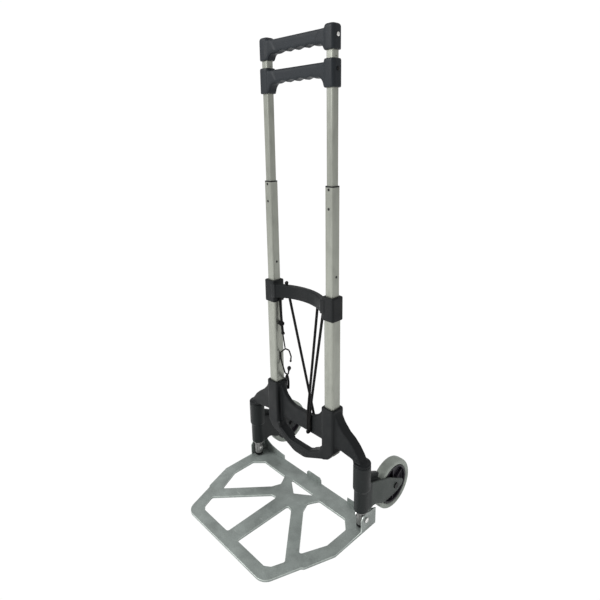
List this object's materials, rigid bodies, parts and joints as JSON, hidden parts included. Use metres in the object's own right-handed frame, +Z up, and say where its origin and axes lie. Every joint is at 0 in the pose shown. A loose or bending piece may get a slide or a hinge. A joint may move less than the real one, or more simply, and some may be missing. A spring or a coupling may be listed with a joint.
{
  "type": "folding hand truck",
  "caption": "Folding two-wheel hand truck: telescoping twin-tube handle, moulded yoke, windowed toe plate that folds up and swivelling wheels, with elastic cords and a wire hook.",
  "frame": {"origin": "on the floor, at the centre of the bounding box, under the space between the tubes and the wheels' axle", "axes": "+X to the right of someone who faces the toe plate from the front, +Y from the toe plate back to the wheels, +Z up along the tubes"},
  "size_m": [0.4012, 0.415, 1.047],
  "materials": {
    "tube_aluminium": "satin anodised, warm silver",
    "moulded_plastic": "fine-textured charcoal moulding",
    "fork_plastic": "fine-textured dark grey moulding",
    "bushing_plastic": "smooth black moulding",
    "fastener_steel": "bright zinc plate",
    "leg_steel": "plain drawn tube",
    "wire_steel": "dark drawn wire",
    "cord_fabric": "woven sheath",
    "plate_metal": "mottled grey-green coating, worn at the edges",
    "tyre_rubber": "grey solid tyre",
    "hub_plastic": "smooth black moulding"
  },
  "bodies": {
    "base_frame": {"base_yoke": "moulded_plastic", "lower_tube_left": "tube_aluminium", "lower_tube_right": "tube_aluminium", "crossbar": "moulded_plastic", "guide_bushing_left": "bushing_plastic", "guide_bushing_right": "bushing_plastic", "yoke_screws": "fastener_steel", "block_screws": "fastener_steel", "leg_tube_left": "leg_steel", "leg_tube_right": "leg_steel", "leg_foot_left": "bushing_plastic", "leg_foot_right": "bushing_plastic", "thrust_rings": "fastener_steel", "fork_spring_left": "wire_steel", "fork_spring_right": "wire_steel", "hinge_rivets": "fastener_steel", "hinge_washers": "fastener_steel", "cord_outer_left": "cord_fabric", "cord_inner_left": "cord_fabric", "cord_inner_right": "cord_fabric", "cord_outer_right": "cord_fabric", "cord_tail": "cord_fabric", "cord_knots": "cord_fabric", "cord_hook": "wire_steel", "cord_hook_loop": "wire_steel"},
    "mid_left": {"mid_tube_left": "tube_aluminium", "mid_bushing_left": "bushing_plastic", "mid_shoe_left": "bushing_plastic"},
    "mid_right": {"mid_tube_right": "tube_aluminium", "mid_bushing_right": "bushing_plastic", "mid_shoe_right": "bushing_plastic"},
    "handle_stage": {"upper_tube_left": "tube_aluminium", "upper_tube_right": "tube_aluminium", "upper_shoe_left": "bushing_plastic", "upper_shoe_right": "bushing_plastic", "top_handle": "moulded_plastic", "lower_handle": "moulded_plastic", "top_rivets": "fastener_steel", "lower_rivets": "fastener_steel"},
    "toe_plate": {"toe_plate": "plate_metal"},
    "wheel_arm_left": {"swivel_fork_left": "fork_plastic", "wheel_axle_left": "fastener_steel", "axle_clip_left": "fastener_steel"},
    "wheel_arm_right": {"swivel_fork_right": "fork_plastic", "wheel_axle_right": "fastener_steel", "axle_clip_right": "fastener_steel"},
    "wheel_left": {"tyre_left": "tyre_rubber", "wheel_hub_left": "hub_plastic", "wheel_bushing_left": "hub_plastic"},
    "wheel_right": {"tyre_right": "tyre_rubber", "wheel_hub_right": "hub_plastic", "wheel_bushing_right": "hub_plastic"}
  },
  "joints": [
    {"name": "mid_left_slide", "type": "slide", "parent": "base_frame", "child": "mid_left", "axis": [0, 0, 1], "range_m": [-0.214, 0]},
    {"name": "mid_right_slide", "type": "slide", "parent": "base_frame", "child": "mid_right", "axis": [0, 0, 1], "range_m": [-0.214, 0]},
    {"name": "handle_slide", "type": "slide", "parent": "mid_left", "child": "handle_stage", "axis": [0, 0, 1], "range_m": [-0.178, 0]},
    {"name": "toe_plate_fold", "type": "hinge", "parent": "base_frame", "child": "toe_plate", "pos_m": [0, 0.0425, 0.029], "axis": [-1, 0, 0], "range_deg": [0, 90]},
    {"name": "wheel_arm_left_swing", "type": "hinge", "parent": "base_frame", "child": "wheel_arm_left", "pos_m": [-0.181, 0.0425, 0.08], "axis": [0, 0, -1], "range_deg": [0, 90]},
    {"name": "wheel_arm_right_swing", "type": "hinge", "parent": "base_frame", "child": "wheel_arm_right", "pos_m": [0.181, 0.0425, 0.08], "axis": [0, 0, 1], "range_deg": [0, 90]},
    {"name": "wheel_left_spin", "type": "hinge", "parent": "wheel_arm_left", "child": "wheel_left", "pos_m": [-0.181, 0.1475, 0.06], "axis": [1, 0, 0], "continuous": true},
    {"name": "wheel_right_spin", "type": "hinge", "parent": "wheel_arm_right", "child": "wheel_right", "pos_m": [0.181, 0.1475, 0.06], "axis": [1, 0, 0], "continuous": true}
  ],
  "couplings": [
    {"joint": "mid_right_slide", "follows": "mid_left_slide", "ratio": 1},
    {"joint": "wheel_arm_left_swing", "follows": "toe_plate_fold", "ratio": 1},
    {"joint": "wheel_arm_right_swing", "follows": "toe_plate_fold", "ratio": 1}
  ]
}
